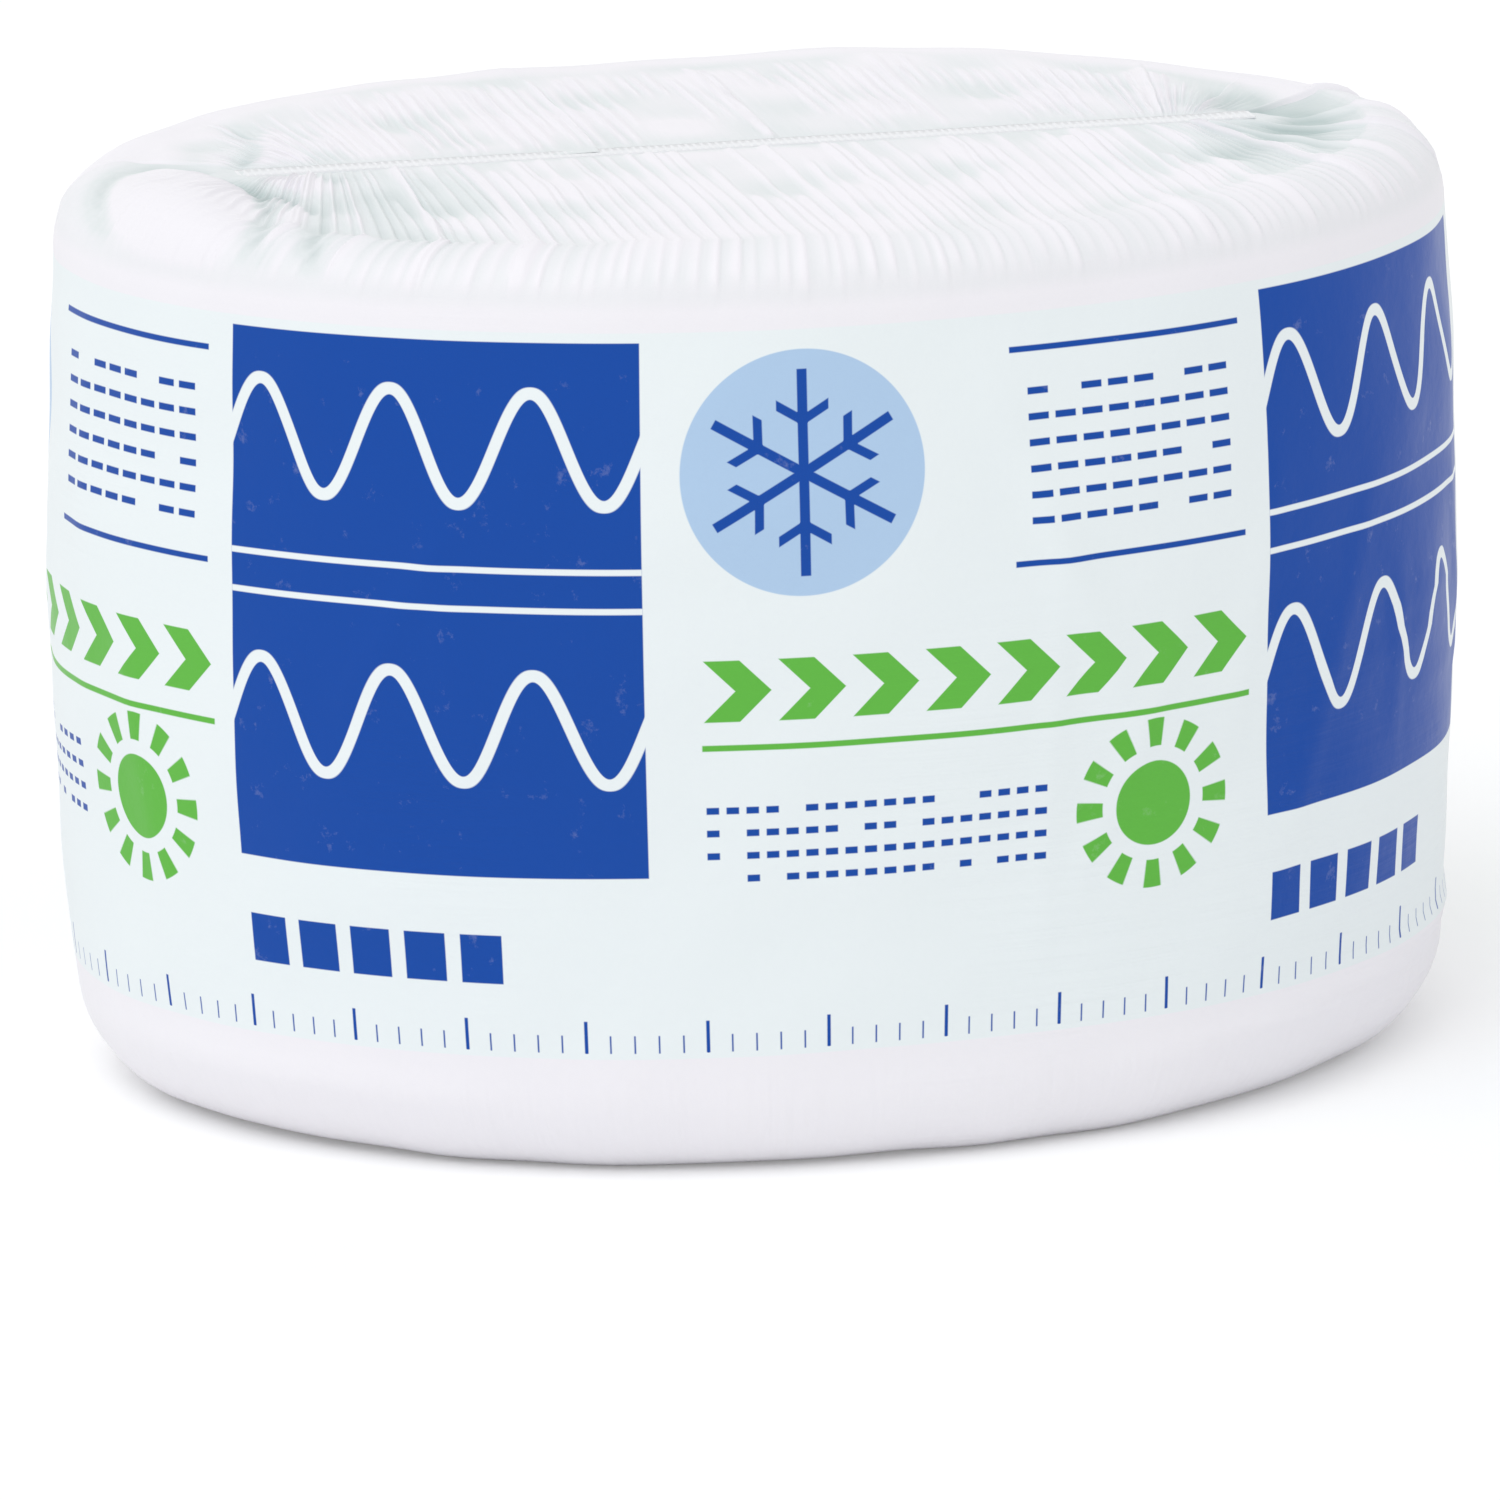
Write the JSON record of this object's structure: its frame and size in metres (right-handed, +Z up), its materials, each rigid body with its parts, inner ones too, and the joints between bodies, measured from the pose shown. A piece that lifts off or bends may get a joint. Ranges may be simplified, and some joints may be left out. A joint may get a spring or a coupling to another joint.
{
  "type": "wrapped fiberglass insulation roll",
  "caption": "Oval roll of compressed glass fibre insulation, standing on its end in a white printed film sleeve with a pleated, heat sealed end.",
  "frame": {"origin": "middle of the flat foot, on the floor that the roll stands on", "axes": "+Z up, along the width of the wound blanket; +X along the long way across the oval; +Y along the short way"},
  "size_m": [0.5936, 0.4576, 0.3836],
  "materials": {
    "glass_wool": "matte, fibrous",
    "printed_film": "satin film with blue and green print"
  },
  "bodies": {
    "root": {"insulation_roll": "glass_wool", "film_wrapper": "printed_film"}
  },
  "joints": []
}
